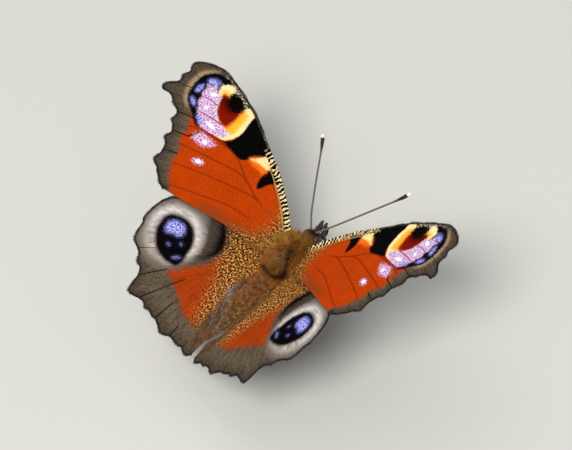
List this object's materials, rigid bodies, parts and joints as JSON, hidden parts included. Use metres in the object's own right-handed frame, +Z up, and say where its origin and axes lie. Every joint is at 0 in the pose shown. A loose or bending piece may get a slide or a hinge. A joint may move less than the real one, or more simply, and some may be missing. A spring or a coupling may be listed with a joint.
{
  "type": "peacock butterfly",
  "caption": "Life-size peacock butterfly standing on its legs, wings held open in a shallow V with an eyespot on each wing.",
  "frame": {"origin": "on the floor, under the middle of the whole butterfly's box", "axes": "+Z up, head toward -Y, the butterfly's left wings toward +X"},
  "size_m": [0.0618, 0.0408, 0.0241],
  "materials": {
    "head_fur": "soft fur",
    "body_fur": "soft golden brown fur",
    "eye": "glossy, finely faceted",
    "antenna": "satin, banded",
    "palp": "bristly",
    "horn": "smooth horn",
    "forewing": "powdery scales",
    "hindwing": "powdery scales",
    "leg": "scaled, satin"
  },
  "bodies": {
    "root": {"head": "head_fur", "eye_left": "eye", "eye_right": "eye", "antenna_left": "antenna", "antenna_right": "antenna", "palp_left": "palp", "palp_right": "palp", "proboscis": "horn", "thorax": "body_fur", "abdomen": "body_fur", "forewing_left": "forewing", "forewing_right": "forewing", "hindwing_left": "hindwing", "hindwing_right": "hindwing", "foreleg_left": "leg", "foreleg_right": "leg", "femur_mid_left": "leg", "tibia_mid_left": "leg", "tarsus_mid_left": "leg", "femur_mid_right": "leg", "tibia_mid_right": "leg", "tarsus_mid_right": "leg", "femur_hind_left": "leg", "tibia_hind_left": "leg", "tarsus_hind_left": "leg", "femur_hind_right": "leg", "tibia_hind_right": "leg", "tarsus_hind_right": "leg"}
  },
  "joints": []
}
